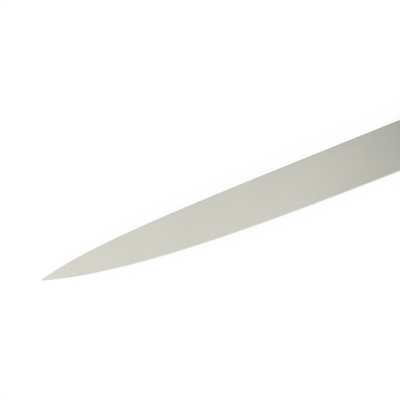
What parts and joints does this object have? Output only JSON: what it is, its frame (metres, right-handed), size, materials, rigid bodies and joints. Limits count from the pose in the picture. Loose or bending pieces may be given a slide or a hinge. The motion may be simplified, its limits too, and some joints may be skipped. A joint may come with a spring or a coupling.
{
  "type": "carving knife",
  "caption": "Long, slim satin steel carving blade with a forged half bolster and full tang, between black riveted handle scales, lying on its side.",
  "frame": {"origin": "under the middle of the knife's bounding box, on the surface that it lies on", "axes": "+X from the point to the butt, +Y from the cutting edge to the spine, +Z out of the left side of the blade, which faces up; the right side of the handle rests on the plane Z = 0"},
  "size_m": [0.3842, 0.031, 0.018],
  "materials": {
    "blade_steel": "satin, finely ground across the blade",
    "scale_plastic": "moulded black plastic, sanded and buffed to a low sheen",
    "rivet_steel": "satin, linished flush with the scales"
  },
  "bodies": {
    "root": {"blade": "blade_steel", "scale_left": "scale_plastic", "scale_right": "scale_plastic", "rivet_post_front": "rivet_steel", "rivet_post_middle": "rivet_steel", "rivet_post_rear": "rivet_steel", "rivet_socket_front": "rivet_steel", "rivet_socket_middle": "rivet_steel", "rivet_socket_rear": "rivet_steel"}
  },
  "joints": []
}
